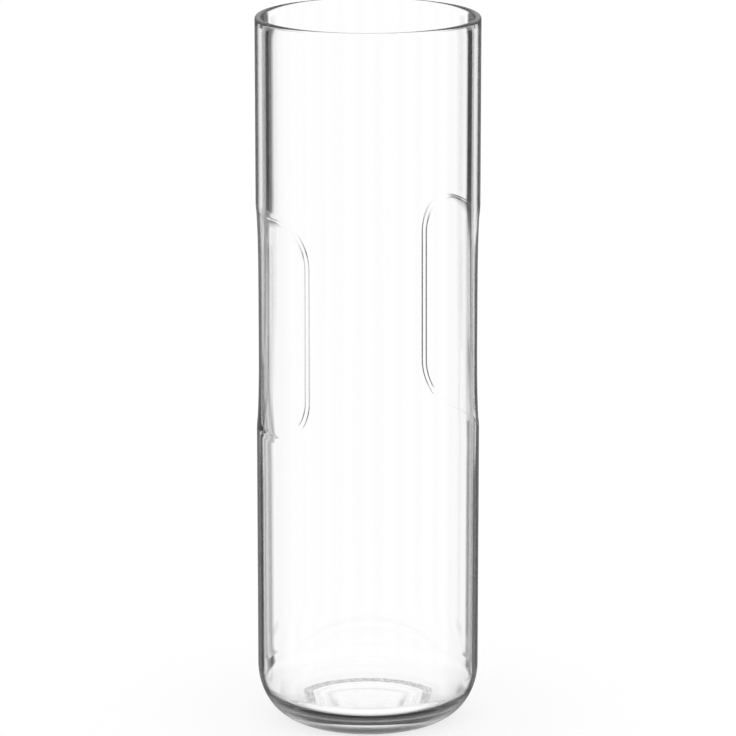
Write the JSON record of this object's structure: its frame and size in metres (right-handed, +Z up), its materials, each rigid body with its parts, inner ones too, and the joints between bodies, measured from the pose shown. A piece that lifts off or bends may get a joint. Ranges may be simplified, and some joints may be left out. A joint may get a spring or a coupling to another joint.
{
  "type": "water carafe",
  "caption": "Tall straight-sided clear glass carafe with an open mouth, rounded lip and heel, a slightly pushed-up base and shallow grip hollows pressed into opposite sides.",
  "frame": {"origin": "middle of the standing ring, on the surface the carafe stands on", "axes": "+Z up along the carafe's axis; the grip hollows face +X and -X"},
  "size_m": [0.09, 0.09, 0.2895],
  "materials": {
    "glass": "clear colourless glass, fire-polished, smooth and glossy"
  },
  "bodies": {
    "root": {"glass_body": "glass"}
  },
  "joints": []
}
